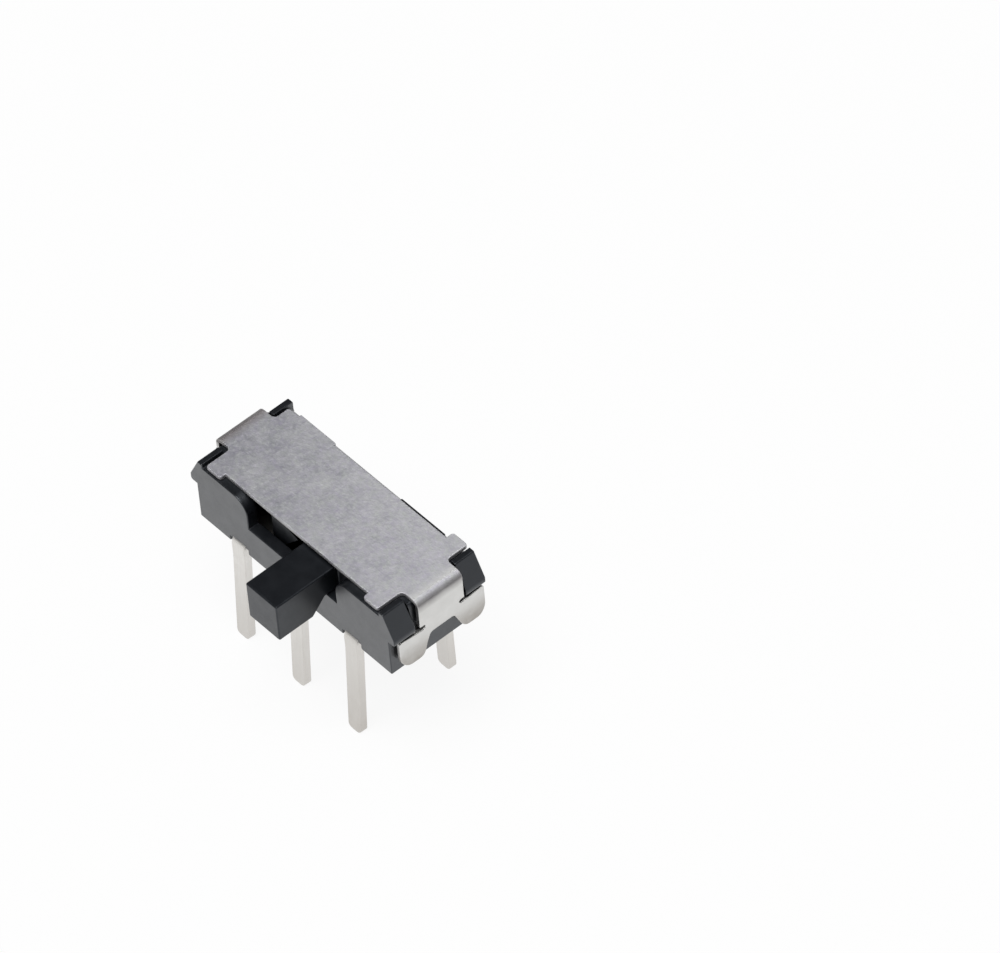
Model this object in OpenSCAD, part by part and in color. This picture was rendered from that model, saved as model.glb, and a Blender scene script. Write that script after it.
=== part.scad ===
// Miniature two-pole, two-position slide switch with a side lever, for through-hole boards.
// Millimetres, +Z up. The origin is the middle of the pins, in the plane of the feet.
// The lever points to -Y and stands at the +X end of its travel.

/* [Housing] */
// Length of the housing between its end faces
housing_l = 8.5; // [7.8:0.1:11]
// Width of the housing from the front face to the back face
housing_w = 3.5; // [3.3:0.1:4.5]
// Height of the wall tops above the housing's underside
wall_h = 2.35; // [2.2:0.05:3]
// Thickness of the front and back walls
wall_t = 0.4; // [0.36:0.02:0.5]
// Thickness of the end walls
end_wall_t = 1.02; // [0.8:0.02:1.3]
// Thickness of the floor above the housing's underside
floor_t = 0.4; // [0.34:0.02:0.6]
// Radius of the back wall's upper edge
back_round_r = 0.35; // [0.1:0.01:0.35]
// Start of the rib on the back wall's upper edge, from the housing's middle
rib_x = 1.05; // [0.5:0.05:1.5]
// Length of the rib on the back wall
rib_l = 1.9; // [1:0.1:2.2]
// Distance of the rib's face from the back face
rib_in = 0.09; // [0.05:0.01:0.15]

/* [Plinth and feet] */
// Height of the plinth under the housing
plinth_h = 0.45; // [0.2:0.05:0.8]
// Distance of the plinth from each end face
plinth_end = 0.55; // [0.2:0.05:0.8]
// Distance of the plinth from the front face
plinth_front = 0.68; // [0.45:0.01:0.8]
// Height of the feet under the plinth
foot_h = 0.3; // [0.1:0.05:0.6]
// Width of a foot across its flats
foot_w = 0.8; // [0.4:0.05:0.9]
// Distance of a foot from the plinth's edges
foot_edge = 0.1; // [0.05:0.05:0.3]
// Length of a moulding pocket in the underside, along the housing
pocket_l = 0.45; // [0.2:0.05:0.6]
// Width of a moulding pocket, across the housing
pocket_w = 0.52; // [0.3:0.02:0.6]
// Distance of the front pockets' middle from the plinth's front
pocket_front = 0.7; // [0.5:0.05:0.8]
// Distance of the back pockets' middle from the back face
pocket_back = 0.8; // [0.7:0.05:0.9]
// Depth of the groove that joins the two pockets at a pin
groove_d = 0.06; // [0.02:0.01:0.15]
// Width of the notches in the front wall beside each pin
notch_w = 0.12; // [0.06:0.01:0.2]
// Height of the notches in the front wall
notch_h = 0.2; // [0.05:0.01:0.25]

/* [Lever slot] */
// Gap between the lever and the slot's end where it stops
slot_end = 0.375; // [0.1:0.025:0.5]
// Height of the slot's sill above the housing's underside
sill_h = 1.27; // [1:0.01:1.4]
// Radius of the round shoulders at the slot's top
shoulder_r = 0.55; // [0.2:0.05:0.8]

/* [End catches] */
// Height of a catch's ledge above the housing's underside
ledge_h = 1.42; // [1.3:0.01:1.6]
// Distance that a catch stands out of the end face
catch_out = 0.27; // [0.25:0.01:0.35]
// Width of the front catches, from the corner of the housing inwards
catch_w = 0.82; // [0.6:0.02:1]
// Width of the back catches
catch_back_w = 0.74; // [0.6:0.02:1]
// Height of a catch's upright face above its ledge
catch_lip = 0.25; // [0.15:0.05:0.4]
// Radius of a catch's lower edge
catch_r = 0.1; // [0.02:0.01:0.14]
// Length of a catch's sloping face, along the housing
catch_ramp = 0.42; // [0.36:0.01:0.55]

/* [Cover] */
// Thickness of the sheet
cover_t = 0.15; // [0.1:0.01:0.18]
// Distance of the flat plate's ends from the end faces
plate_end = 0.45; // [0.4:0.01:0.6]
// Gap between the plate's ends and the catches
plate_gap = 0.1; // [0.05:0.01:0.15]
// Distance of the ears from the housing's front and back faces
ear_in = 0.07; // [0.02:0.01:0.15]
// Distance that the back ear reaches further out than the front ears
ear_back = 0.1; // [0:0.01:0.12]
// Length of each ear along the plate
ear_l = 0.65; // [0.4:0.05:0.9]
// Radius of the plate's corners
ear_r = 0.1; // [0.03:0.01:0.14]
// Depth of the relief between the front ears
ear_relief = 0.12; // [0.05:0.01:0.2]
// Depth of the relief along the back, from the ear's edge
back_relief = 0.16; // [0.05:0.01:0.25]
// Start of the lug on the back edge, from the plate's end
lug_start = 0.45; // [0.2:0.05:1]
// Length of the lug on the back edge
lug_l = 1.55; // [0.8:0.05:2]
// Distance that the lug stands out of the relieved back edge
lug_out = 0.08; // [0.03:0.01:0.15]
// Gap between a neck and the front catch
neck_gap = 0.19; // [0.05:0.01:0.25]
// Gap between a neck and the back catch
neck_back_gap = 0.05; // [0.03:0.01:0.2]
// Radius in the corners between necks and plate
neck_r = 0.15; // [0.05:0.01:0.17]
// Inside radius of the folds
fold_r = 0.1; // [0.06:0.01:0.14]
// Gap between a folded tab and the end face
tab_gap = 0.08; // [0.05:0.01:0.1]
// Distance of the wings' and the window's middle behind the housing's middle
tab_y = 0.08; // [0:0.01:0.1]
// Distance of centred wings from the housing's front and back faces
wing_in = 0.13; // [0.05:0.01:0.3]
// Gap between the wings and the catches' ledges
wing_gap = 0.07; // [0.03:0.01:0.12]
// Height of a wing
wing_h = 1.1; // [0.9:0.05:1.2]
// Radius of a wing's outer lower corner
wing_low_r = 0.4; // [0.1:0.05:0.45]
// Radius of a wing's lower corner beside the window
lobe_r = 0.3; // [0.1:0.05:0.4]
// Radius of a wing's upper corner
wing_top_r = 0.12; // [0.05:0.01:0.3]
// Radius of the reliefs between neck and wings
relief_r = 0.07; // [0.05:0.01:0.1]
// Depth of a relief in the neck
relief_l = 0.2; // [0.12:0.02:0.3]
// Height of the window in a tab's lower edge
window_h = 0.7; // [0.5:0.02:0.8]
// Width of the window at its mouth
window_w = 1.5; // [1.2:0.05:1.7]
// Width of the window at its top
window_top_w = 0.9; // [0.6:0.05:1.1]
// Radius of the window's top corners
window_r = 0.16; // [0.05:0.01:0.2]

/* [Slider and lever] */
// Travel of the slider between its two positions
travel = 1.8; // [1.5:0.1:2]
// Gap at the end stops
stop_gap = 0.03; // [0.02:0.01:0.1]
// Running gap between the slider and the housing
run_gap = 0.05; // [0.02:0.01:0.1]
// Height of the slider above the floor
slider_lift = 0.15; // [0.08:0.01:0.3]
// Width of the lever, along the housing
lever_w = 1.35; // [1.1:0.05:2]
// Height of the lever's head
lever_h = 1.45; // [1.2:0.05:1.8]
// Distance of the lever's end from the front face
lever_out = 1.88; // [1.8:0.02:4]
// Gap between the lever's top and the cover
lever_gap = 0.1; // [0.05:0.01:0.3]
// Slope length of the lever's underside, from head to tongue
lever_ramp = 0.5; // [0.2:0.05:0.6]
// Gap between the lever's head and the front face
head_gap = 0.1; // [0.05:0.01:0.2]
// Radius of the round recess under the lever's head
recess_r = 0.48; // [0.2:0.02:0.5]
// Depth of the round recess
recess_d = 0.9; // [0.2:0.1:1]
// Wall between the recess and the lever's end
recess_wall = 0.2; // [0.12:0.02:0.3]

/* [Contact clips] */
// Thickness of the clip's strip
clip_t = 0.12; // [0.08:0.01:0.15]
// Width of the clip's strip
clip_w = 0.56; // [0.4:0.02:0.7]
// Height of a clip, from contact points to flat middle
clip_h = 1.05; // [0.85:0.05:1.2]
// Radius of the bend at a contact point, to the strip's middle
clip_r = 0.2; // [0.14:0.01:0.26]
// Slope of the clip's legs from the upright, in degrees
clip_lean = 30; // [20:1:38]
// Distance of each clip from the middle of the housing
clip_y = 0.68; // [0.5:0.02:0.75]
// Room round a clip in the slider
clip_room = 0.05; // [0.02:0.01:0.1]
// Gap between a clip's contact points and the pads
contact_gap = 0.03; // [0.01:0.01:0.08]

/* [Terminals] */
// Distance between pins along the housing
pitch = 2.5; // [2:0.05:2.6]
// Distance of the front pins' outer side behind the front face
pin_in = -0.08; // [-0.1:0.01:0.1]
// Distance that the back pins' outer side stands out of the back face
pin_out = -0.03; // [-0.1:0.01:0.1]
// Thickness of the terminal sheet
pin_t = 0.28; // [0.2:0.01:0.34]
// Width of a pin
pin_w = 0.55; // [0.44:0.01:0.7]
// Length of the pins below the feet
pin_l = 3.05; // [1.5:0.05:5]
// Radius of the corners at a pin's tip
pin_tip_r = 0.1; // [0.05:0.01:0.2]
// Lean of the front pins outwards, in degrees
pin_lean = 3.3; // [0:0.1:5]
// Lean of the back pins outwards, in degrees
pin_back_lean = 0.2; // [0:0.1:4]
// Inside radius of the bend between pad and pin
pin_bend_r = 0.1; // [0.04:0.01:0.12]
// Width of a contact pad, along the housing
pad_w = 1.4; // [1:0.05:1.6]
// Distance of a pad's inner edge from the middle of the housing
pad_in = 0.25; // [0.15:0.05:0.35]
// Length of the strip between a pad and its bend
pad_neck = 0.15; // [0.05:0.01:0.2]
// Height of a pad's top above the floor
pad_up = 0.03; // [0.01:0.01:0.06]

/* [Hidden] */
$fn = 64;
// Small overlap of shapes that are one solid, and the reach of a cut beyond what it cuts
eps = 0.01;
cut_over = 1;

// Colours of the black mouldings, the sheet cover, the plated pins and the contact strip
col_plastic = [0.09, 0.09, 0.1];
col_sheet = [0.68, 0.68, 0.7];
col_pin = [0.86, 0.86, 0.84];
col_strip = [0.8, 0.66, 0.42];

// Heights: plinth underside, housing underside, floor, wall tops
z_plinth = foot_h;
z_body = z_plinth + plinth_h;
z_floor = z_body + floor_t;
z_top = z_body + wall_h;
z_cover = z_top + cover_t;
z_ledge = z_body + ledge_h;
z_sill = z_body + sill_h;

// Half sizes of the housing and of the space that the slider runs in
half_l = housing_l / 2;
half_w = housing_w / 2;
bay_l = housing_l - 2 * end_wall_t;
bay_w = housing_w - 2 * wall_t;
slot_l = lever_w + travel + 2 * slot_end;

// Catches: outermost face, and where their sloping face cuts the wall tops and the end faces
catch_x = half_l + catch_out;
catch_in = half_l - plate_end + plate_gap;
ramp_slope = catch_ramp / (z_cover - z_ledge - catch_lip);
ramp_x = catch_x - catch_ramp + cover_t * ramp_slope;
ramp_z = z_cover - (catch_ramp - catch_out) / ramp_slope;

// Plinth and feet
plinth_x = half_l - plinth_end;
plinth_y = -half_w + plinth_front;
foot_x = plinth_x - foot_edge - foot_w / 2;
foot_front_y = plinth_y + foot_edge + foot_w / 2;
foot_back_y = half_w - foot_edge - foot_w / 2 - pin_t;

// Cover: outer face of the tabs, centre of the folds, wing heights, widths of its parts
tab_x = half_l + tab_gap;
fold_x = tab_x - fold_r;
fold_z = z_top - fold_r;
wing_top = z_ledge - wing_gap;
wing_low = wing_top - wing_h;
wing_w = housing_w - 2 * wing_in;
neck_w = housing_w - catch_w - catch_back_w - neck_gap - neck_back_gap;
neck_y = (catch_w - catch_back_w + neck_gap - neck_back_gap) / 2;
plate_l = housing_l - 2 * plate_end;
plate_y = half_w - ear_in;

// Slider
slider_x = travel / 2;
slider_l = bay_l - travel - 2 * stop_gap;
slider_w = bay_w - 2 * run_gap;
slider_low = z_floor + slider_lift;
slider_top = z_top - run_gap;
lever_top = z_top - lever_gap;
lever_end = -half_w - lever_out;
tongue_low = z_sill + run_gap;

// Contact clips: their points stand as far apart as the pins, over two neighbouring pads
pad_top = z_floor + pad_up;
clip_low = pad_top + contact_gap;
clip_top = clip_low + clip_h;
clip_bay_l = pitch + 2 * clip_r + 2 * clip_t + 4 * clip_room;

// Terminals
pad_low = pad_top - pin_t;
row = housing_w - pin_in + pin_out - pin_t;
row_back = (pin_in + pin_out) / 2;

// A box between two corners
module box(low, high) {
  translate(low) cube(high - low);
}

// A profile in X and Z, drawn out along Y
module along_y(y0, y1) {
  translate([0, y1, 0]) rotate([90, 0, 0]) linear_extrude(y1 - y0) children();
}

// A profile in Y and Z, drawn out along X
module along_x(x0, x1) {
  translate([x0, 0, 0]) rotate([90, 0, 90]) linear_extrude(x1 - x0) children();
}

// Children at both ends of the housing
module both_ends() {
  for (end = [0, 1]) mirror([end, 0, 0]) children();
}

// Children in front of and behind the housing's middle plane
module both_sides() {
  for (side = [0, 1]) mirror([0, side, 0]) children();
}

// A rectangle with its lower and upper corners rounded by two radii, centred on the first axis
module rounded_sheet(width, low, high, low_r, top_r) {
  half = width / 2;
  translate([-half, low + low_r]) square([width, high - low - low_r - top_r]);
  translate([-half + low_r, low]) square([width - 2 * low_r, low_r + eps]);
  translate([-half + top_r, high - top_r - eps]) square([width - 2 * top_r, top_r + eps]);
  for (side = [-1, 1]) {
    translate([side * (half - low_r), low + low_r]) circle(low_r);
    translate([side * (half - top_r), high - top_r]) circle(top_r);
  }
}

// Side view of a quarter bend in sheet, with a little of the straight sheet at both its ends
module quarter_bend(r, t) {
  intersection() {
    difference() {
      circle(r + t);
      circle(r);
    }
    square(r + t);
  }
  translate([-eps, r]) square([eps, t]);
  translate([r, -eps]) square([t, eps]);
}

// Opening in the front wall, wider at the top by two round shoulders
module slot_profile() {
  half = slot_l / 2;
  translate([-half, z_sill]) square([slot_l, z_top - z_sill + cut_over]);
  difference() {
    translate([-half - shoulder_r, z_top - shoulder_r])
      square([slot_l + 2 * shoulder_r, shoulder_r + cut_over]);
    for (side = [-1, 1]) translate([side * (half + shoulder_r), z_top - shoulder_r]) circle(shoulder_r);
  }
}

// Side view of a catch: ledge, round edge, upright lip and sloping face, as high as the cover
module catch_profile() {
  polygon([
    [catch_in, z_ledge], [catch_x - catch_r, z_ledge],
    [catch_x, z_ledge + catch_r], [catch_x, z_ledge + catch_lip],
    [catch_x - catch_ramp, z_cover], [catch_in, z_cover]
  ]);
  translate([catch_x - catch_r, z_ledge + catch_r]) circle(catch_r);
}

module catches() {
  both_ends() {
    along_y(-half_w, catch_w - half_w) catch_profile();
    along_y(half_w - catch_back_w, half_w) catch_profile();
  }
}

// Side view of the housing's block, with its end walls cut back along the catches' sloping faces
module block_profile() {
  polygon([
    [-half_l, z_body], [half_l, z_body], [half_l, ramp_z],
    [ramp_x, z_top], [-ramp_x, z_top], [-half_l, ramp_z]
  ]);
}

module feet() {
  for (x = [-foot_x, foot_x], y = [foot_front_y, foot_back_y])
    translate([x, y, 0]) rotate(22.5) cylinder(h = foot_h + eps, d = foot_w / cos(22.5), $fn = 8);
}

// Pockets in the underside, reaching up to the pads, and the shallow groove between each pair
module pockets() {
  front_y = plinth_y + pocket_front;
  back_y = half_w - pocket_back;
  for (i = [-1:1]) translate([i * pitch, 0, 0]) {
    for (y = [front_y, back_y])
      box([-pocket_l / 2, y - pocket_w / 2, -eps], [pocket_l / 2, y + pocket_w / 2, pad_low]);
    box([-pocket_l / 2, front_y, -eps], [pocket_l / 2, back_y, z_plinth + groove_d]);
  }
}

// Notches in the front wall's lower edge, on both sides of each pin
module pin_notches() {
  for (i = [-1:1], side = [-1, 1])
    translate([i * pitch + side * (pin_w + notch_w) / 2, -half_w, z_body])
      cube([notch_w, 2 * notch_w, 2 * notch_h], center = true);
}

// What the round upper edge of the back wall takes away between the catches
module back_edge() {
  centre = [half_w - back_round_r, z_top - back_round_r];
  along_x(-catch_in, catch_in) difference() {
    translate(centre) square(2 * back_round_r);
    translate(centre) circle(back_round_r);
  }
}

module back_rib() {
  box([rib_x, bay_w / 2, z_top - back_round_r - eps], [rib_x + rib_l, half_w - rib_in, z_top]);
}

module housing() {
  color(col_plastic) difference() {
    union() {
      difference() {
        along_y(-half_w, half_w) block_profile();
        back_edge();
      }
      box([-plinth_x, plinth_y, z_plinth], [plinth_x, half_w, z_body + eps]);
      feet();
      catches();
      back_rib();
    }
    box([-bay_l / 2, -bay_w / 2, z_floor], [bay_l / 2, bay_w / 2, z_cover + cut_over]);
    along_y(-half_w - cut_over, -bay_w / 2 + eps) slot_profile();
    pockets();
    pin_notches();
    all_terminals();
  }
}

// A rectangle between two corners, with all its corners rounded
module soft_rect(low, high, r) {
  translate(low + [r, 0]) square([high[0] - low[0] - 2 * r, high[1] - low[1]]);
  translate(low + [0, r]) square([high[0] - low[0], high[1] - low[1] - 2 * r]);
  for (x = [low[0] + r, high[0] - r], y = [low[1] + r, high[1] - r]) translate([x, y]) circle(r);
}

// Round filling for the inner corner between the plate's end and a neck
module neck_corner() {
  translate([plate_l / 2 - eps, neck_w / 2 - eps]) difference() {
    square(neck_r + eps);
    translate([neck_r + eps, neck_r + eps]) circle(neck_r);
  }
}

// Outline of the cover's flat plate with its ears, the lug at the back and the necks
module plate_outline() {
  end = plate_l / 2;
  back = plate_y - back_relief;
  soft_rect([-end, ear_relief - plate_y], [end, back], ear_r);
  for (x = [-end, end - ear_l]) soft_rect([x, -plate_y], [x + ear_l, 0], ear_r);
  soft_rect([end - ear_l, 0], [end, plate_y + ear_back], ear_r);
  translate([lug_start - end, 0]) square([lug_l, back + lug_out]);
  translate([0, neck_y]) {
    square([2 * fold_x, neck_w], center = true);
    both_ends() both_sides() neck_corner();
  }
}

// Window in a tab's lower edge: a trapezium with round top corners
module window_profile() {
  top = wing_low + window_h;
  run = (window_w - window_top_w) / 2;
  side = norm([run, window_h]);
  across = [window_h / side, run / side];
  corner = [window_top_w / 2 - window_r * (1 - run / side) * side / window_h, top - window_r];
  touch = corner + window_r * across;
  foot = [window_w / 2 + run / window_h * window_r, wing_low - window_r];
  polygon([
    [-corner[0], top], [corner[0], top], touch, foot, [-foot[0], foot[1]], [-touch[0], touch[1]]
  ]);
  for (end = [-1, 1]) translate([end * corner[0], corner[1]]) circle(window_r);
}

// What the rounding takes off a wing's lower corner beside the window, on the back side
module lobe_corner() {
  lean = atan2((window_w - window_top_w) / 2, window_h);
  reach = lobe_r * tan(45 - lean / 2);
  mouth = [window_w / 2, wing_low];
  touch = mouth + reach * [-sin(lean), cos(lean)];
  into_window = -eps * [cos(lean), sin(lean)];
  centre = mouth + [reach, lobe_r];
  difference() {
    polygon([
      centre, touch, touch + into_window, mouth + into_window - [0, eps], centre - [0, lobe_r + eps]
    ]);
    translate(centre) circle(lobe_r);
  }
}

// A relief cut into the neck above a wing, on the back side
module relief() {
  end = neck_w / 2 - relief_l + relief_r;
  translate([end, wing_top]) circle(relief_r);
  translate([end, wing_top - relief_r]) square([relief_l, 2 * relief_r]);
}

// One folded tab: neck, wings that spring under the catches, and the window between them
module tab() {
  along_x(tab_x, tab_x + cover_t) difference() {
    union() {
      translate([neck_y - neck_w / 2, wing_top - wing_top_r])
        square([neck_w, fold_z - wing_top + wing_top_r]);
      translate([tab_y, 0]) rounded_sheet(wing_w, wing_low, wing_top, wing_low_r, wing_top_r);
    }
    translate([tab_y, 0]) {
      window_profile();
      for (side = [0, 1]) mirror([side, 0]) lobe_corner();
    }
    translate([neck_y, 0]) for (side = [0, 1]) mirror([side, 0]) relief();
  }
}

// Quarter bend between the plate and a tab
module fold() {
  along_y(neck_y - neck_w / 2, neck_y + neck_w / 2) translate([fold_x, fold_z]) quarter_bend(fold_r, cover_t);
}

module cover() {
  color(col_sheet) {
    translate([0, 0, z_top]) linear_extrude(cover_t) plate_outline();
    both_ends() {
      fold();
      tab();
    }
  }
}

// Side view of the lever: tongue through the slot, sloping underside and deeper head
module lever_profile() {
  head_low = lever_top - lever_h;
  head_in = -half_w - head_gap;
  root = run_gap - slider_w / 2;
  polygon([
    [root, lever_top], [lever_end, lever_top], [lever_end, head_low],
    [head_in - lever_ramp, head_low], [head_in, tongue_low], [root, tongue_low]
  ]);
}

module slider() {
  color(col_plastic) translate([slider_x, 0, 0]) difference() {
    union() {
      box([-slider_l / 2, -slider_w / 2, slider_low], [slider_l / 2, slider_w / 2, slider_top]);
      along_x(-lever_w / 2, lever_w / 2) lever_profile();
    }
    translate([0, lever_end + recess_wall + recess_r, lever_top - lever_h - eps])
      cylinder(h = recess_d + eps, r = recess_r);
    both_sides() box(
      [-clip_bay_l / 2, clip_y - clip_w / 2 - clip_room, slider_low - eps],
      [clip_bay_l / 2, clip_y + clip_w / 2 + clip_room, clip_top]
    );
  }
}

// A straight length of strip from a point, at an angle
module strip(start, angle, length) {
  translate(start) rotate(angle) translate([0, -clip_t / 2]) square([length, clip_t]);
}

// Half of a clip's side view: flat middle, leaning leg and round contact point with its short tail
module half_clip() {
  flat_z = clip_top - clip_t / 2;
  bend = [pitch / 2, clip_low + clip_t / 2 + clip_r];
  leg_end = bend + clip_r * [-cos(clip_lean), -sin(clip_lean)];
  knee_x = leg_end[0] - (flat_z - leg_end[1]) * tan(clip_lean);
  leg_l = (flat_z - leg_end[1]) / cos(clip_lean);
  translate([-eps, clip_top - clip_t]) square([knee_x + eps, clip_t]);
  translate([knee_x, flat_z]) circle(clip_t / 2);
  strip([knee_x, flat_z], -90 + clip_lean, leg_l + eps);
  translate(bend) difference() {
    circle(clip_r + clip_t / 2);
    circle(clip_r - clip_t / 2);
    polygon(cut_over * [[0, 0], [1, 0], [1, 1], [-1, 1], [-1, -tan(clip_lean)]]);
  }
}

module contact_clip(y) {
  color(col_strip) translate([slider_x, 0, 0])
    along_y(y - clip_w / 2, y + clip_w / 2) both_ends() half_clip();
}

module contact_clip_front() {
  contact_clip(-clip_y);
}

module contact_clip_back() {
  contact_clip(clip_y);
}

// A terminal at the back: contact pad in the floor, bend in the wall, and pin
module terminal_shape(inner_face, lean) {
  bend_y = inner_face - pin_bend_r;
  bend_z = pad_low - pin_bend_r;
  pad_out = bend_y - pad_neck;
  box([-pad_w / 2, pad_in, pad_low], [pad_w / 2, pad_out, pad_top]);
  box([-pin_w / 2, pad_out - eps, pad_low], [pin_w / 2, bend_y, pad_top]);
  along_x(-pin_w / 2, pin_w / 2) translate([bend_y, bend_z]) quarter_bend(pin_bend_r, pin_t);
  box([-pin_w / 2, inner_face, z_plinth], [pin_w / 2, inner_face + pin_t, bend_z]);
  translate([0, inner_face, z_plinth]) rotate([lean, 0, 0])
    along_y(0, pin_t) blade_profile((pin_l + z_plinth) / cos(lean));
}

// Front view of a pin below the plinth, with a rounded tip
module blade_profile(long) {
  translate([-pin_w / 2, pin_tip_r - long]) square([pin_w, long - pin_tip_r]);
  translate([pin_tip_r - pin_w / 2, -long]) square([pin_w - 2 * pin_tip_r, pin_tip_r + eps]);
  for (side = [-1, 1]) translate([side * (pin_w / 2 - pin_tip_r), pin_tip_r - long]) circle(pin_tip_r);
}

// side is -1 for the front row and 1 for the back row; place runs from -1 to 1 along the housing
module terminal(side, place) {
  inner_face = row / 2 - pin_t / 2 + side * row_back;
  color(col_pin) translate([place * pitch, 0, 0]) mirror([0, side < 0 ? 1 : 0, 0])
    terminal_shape(inner_face, side < 0 ? pin_lean : pin_back_lean);
}

module all_terminals() {
  for (side = [-1, 1], place = [-1:1]) terminal(side, place);
}

// Children moved from the housing's middle to the middle of the pins
module on_pins() {
  translate([0, -row_back, 0]) children();
}

on_pins() housing();
on_pins() cover();
on_pins() slider();
on_pins() contact_clip_front();
on_pins() contact_clip_back();
on_pins() terminal(-1, -1);  // terminal_front_left
on_pins() terminal(-1, 0);  // terminal_front_middle
on_pins() terminal(-1, 1);  // terminal_front_right
on_pins() terminal(1, -1);  // terminal_back_left
on_pins() terminal(1, 0);  // terminal_back_middle
on_pins() terminal(1, 1);  // terminal_back_right
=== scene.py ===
import math

import bmesh
import bpy
from bpy.props import FloatProperty, FloatVectorProperty, IntProperty, PointerProperty
from mathutils import Matrix, Vector


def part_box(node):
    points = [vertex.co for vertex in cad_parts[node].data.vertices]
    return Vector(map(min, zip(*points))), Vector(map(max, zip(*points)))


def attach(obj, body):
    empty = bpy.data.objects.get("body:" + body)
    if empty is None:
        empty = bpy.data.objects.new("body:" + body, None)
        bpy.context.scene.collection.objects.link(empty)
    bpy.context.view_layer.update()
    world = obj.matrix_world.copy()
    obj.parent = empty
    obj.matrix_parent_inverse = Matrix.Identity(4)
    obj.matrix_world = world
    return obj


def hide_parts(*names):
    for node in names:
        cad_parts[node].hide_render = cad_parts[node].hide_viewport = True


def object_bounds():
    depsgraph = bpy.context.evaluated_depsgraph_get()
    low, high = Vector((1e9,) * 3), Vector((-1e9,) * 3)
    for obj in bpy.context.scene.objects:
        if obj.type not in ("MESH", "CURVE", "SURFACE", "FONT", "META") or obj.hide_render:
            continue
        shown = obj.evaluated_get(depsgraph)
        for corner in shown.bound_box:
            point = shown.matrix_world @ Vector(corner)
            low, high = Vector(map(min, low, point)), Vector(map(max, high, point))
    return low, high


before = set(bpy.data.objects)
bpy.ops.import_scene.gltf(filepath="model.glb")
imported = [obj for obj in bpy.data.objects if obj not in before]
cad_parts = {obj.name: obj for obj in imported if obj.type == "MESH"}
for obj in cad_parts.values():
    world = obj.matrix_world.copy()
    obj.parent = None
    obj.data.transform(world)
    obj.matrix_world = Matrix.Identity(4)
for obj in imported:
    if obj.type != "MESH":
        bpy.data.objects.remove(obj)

bl_info = {
    "name": "Slide switch",
    "version": (1, 0, 0),
    "blender": (4, 5, 0),
    "location": "3D View > Sidebar > Switch",
    "description": "Builds the looks of a miniature slide switch over its solid model",
    "category": "Object",
}

CAD_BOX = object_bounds()
MM = 0.001
LENGTH_DIGITS = 6

# Camera of the picture: place in metres, viewing direction, upward direction, lens and depth
CAMERA_PLACE = Vector((0.153262, -0.111566, 0.220767))
CAMERA_FORWARD = Vector((-0.52187, 0.40078, -0.75301))
CAMERA_UP = Vector((-0.53831, 0.53006, 0.65518))
CAMERA_SENSOR = 36.0
CAMERA_LENS = 360.0
CAMERA_NEAR = 0.01
CAMERA_FAR = 20.0

# Stage: each lamp's name, place, size and power, the floor, and the world light by height
LAMPS = (
    ("key_softbox", (0.08, -0.16, 0.66), 0.5, 4.2),
    ("top_softbox", (0.1, 0.1, 0.75), 0.9, 0.8),
)
FLOOR_REACH = 3.0
FLOOR_LIGHT = 1.02
FLOOR_LIGHT_SHARE = 0.9
HORIZON = (0.02, 0.1)
HORIZON_LIGHT = 1.0
SKY_LIGHT = 0.07

# Meshing, in millimetres and degrees
MERGE_GAP = 0.0005
FLAT_ANGLE = 0.5
SHARP_ANGLE = 33.0
SMOOTH_ANGLE = 40.0
ARC_STEP = 9.0
QUARTER_STEPS = round(90 / ARC_STEP)

# Rounding: share of the room beside an edge, cosines of crossing and of acute edges, and steps
ROOM_SHARE = 0.33
CROSSING = 0.6
ACUTE = 0.7
ROUND_STEPS = 3

# Shading: weight of large faces, and the number of corners from which a face is cut into triangles
FACE_WEIGHT = 80
LARGE_FACE = 5

TERMINAL_NODES = [
    "terminal_front_left", "terminal_front_middle", "terminal_front_right",
    "terminal_back_left", "terminal_back_middle", "terminal_back_right",
]
CLIP_NODES = ["contact_clip_front", "contact_clip_back"]

# Node trees: spacing on the screen, and the Mix node's sockets for factor, colours and result
NODE_WIDE = 240
NODE_HIGH = 220
MIX_INPUTS = (0, 6, 7)
MIX_RESULT = 2

# Noise: parts of its range that are used, and its detail
GRAIN_RANGE = (0.3, 0.7)
CLOUD_RANGE = (0.32, 0.68)
WEAR_RANGE = (0.3, 0.65)
LEAST_WEAR = 0.25
GRAIN_DETAIL = 2.0
NOISE_DETAIL = 3.0
NOISE_ROUGH = 0.6
CLOUD_ROUGH = 0.55

# Depths of the bump, in metres
FINE_DEPTH = 0.00001
PLATE_DEPTH = 0.00002

# Black plastic: refraction, coat, bluish sheen, noise scales per metre, wear and roughness
HOUSING_IOR = 1.54
HOUSING_COAT = 0.55
SLIDER_IOR = 1.5
SLIDER_COAT = 0.15
COAT_ROUGH = 0.28
SHEEN_TINT = (0.8, 0.88, 1.0, 1.0)
PLASTIC_CLOUDS = {"Scale": 900.0, "Fine Scale": 6000.0}
PLASTIC_GRAIN = {"Scale": 14000.0, "Detail": GRAIN_DETAIL}
PLASTIC_WEAR = {"Scale": 2500.0, "Amount": 0.3}
PLASTIC_ROUGH = (0.26, 0.32)
WORN_ROUGH = 0.5
PLASTIC_BUMP = 0.03

# Cover's plating: noise scales per metre, wear, tones with painted light, specks, roughness and bump
PLATE_CLOUDS = {"Scale": 2600.0, "Fine Scale": 7500.0}
HUE_CLOUDS = {"Scale": 3600.0, "Fine Scale": 9000.0}
PLATE_GRAIN = {"Scale": 10000.0, "Detail": NOISE_DETAIL}
PLATE_WEAR = {"Scale": 2000.0, "Amount": 0.5}
CLOUD_SHARE = 0.4
# Painted light: slant and share of the plate's paler tone towards its right back end
PAINTED_LIGHT_SLANT = 1.2
PAINTED_LIGHT_SHARE = 0.6
SPECK_START = 0.45
SPECK_SHARE = 0.35
TAB_ROUGH = 0.42
PLATE_ROUGH = 0.7
ROUGH_RISE = 0.4
PLATE_BUMP = 0.5
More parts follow.
